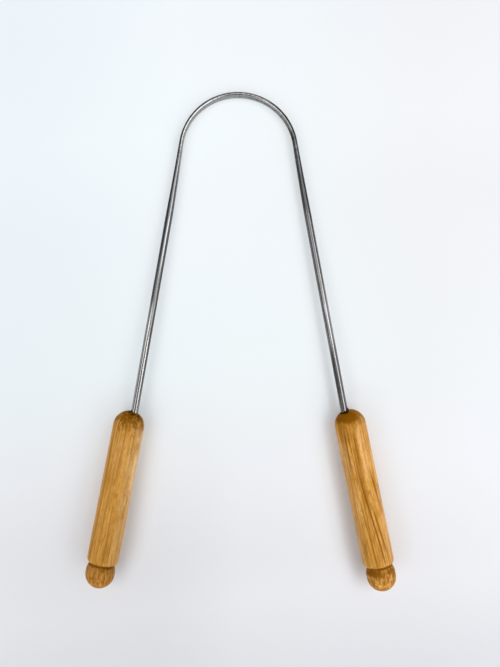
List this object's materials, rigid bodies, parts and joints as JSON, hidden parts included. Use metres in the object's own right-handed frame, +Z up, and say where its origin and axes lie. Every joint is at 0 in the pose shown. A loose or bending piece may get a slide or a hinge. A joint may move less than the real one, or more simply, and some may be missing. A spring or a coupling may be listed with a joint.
{
  "type": "tongue scraper",
  "caption": "Tongue scraper: a springy U of steel wire, pressed into a thin band on edge at its arch, with a turned wooden handle glued on each end.",
  "frame": {"origin": "on the table under the middle of the whole object, as it rests on the lower edge of its arch and the domes of both handles", "axes": "+Y along the centre line towards the scraping arch, +X towards the right handle, +Z up from the table"},
  "size_m": [0.099, 0.1614, 0.0113],
  "materials": {
    "steel": "drawn stainless wire, satin along its length, brushed across the flat band",
    "wood": "oiled beech with the grain along the handle",
    "adhesive": "cured, dark amber"
  },
  "bodies": {
    "root": {"scraper_bow": "steel", "left_handle": "wood", "right_handle": "wood", "left_bond": "adhesive", "right_bond": "adhesive"}
  },
  "joints": []
}
